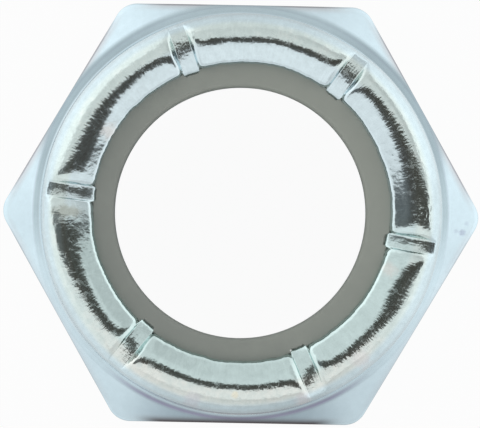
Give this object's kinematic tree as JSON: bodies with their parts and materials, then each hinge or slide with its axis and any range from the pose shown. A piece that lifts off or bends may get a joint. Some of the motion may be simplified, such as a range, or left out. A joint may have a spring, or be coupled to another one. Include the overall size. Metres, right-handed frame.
{
  "type": "nylon insert lock nut",
  "caption": "Hexagon lock nut with a plastic ring held in its collar by a rolled and staked crown, so that it grips the bolt's thread.",
  "frame": {"origin": "centre of the nut's bearing face", "axes": "+Z along the thread, from the bearing face to the rolled crown; X through two opposite corners of the hexagon; Y through two opposite flats"},
  "size_m": [0.0308, 0.027, 0.0222],
  "materials": {
    "zinc_plated_steel": "bright zinc plate, pale blue",
    "grey_nylon": "matt grey nylon"
  },
  "bodies": {
    "root": {"nut_body": "zinc_plated_steel", "nylon_insert": "grey_nylon"}
  },
  "joints": []
}
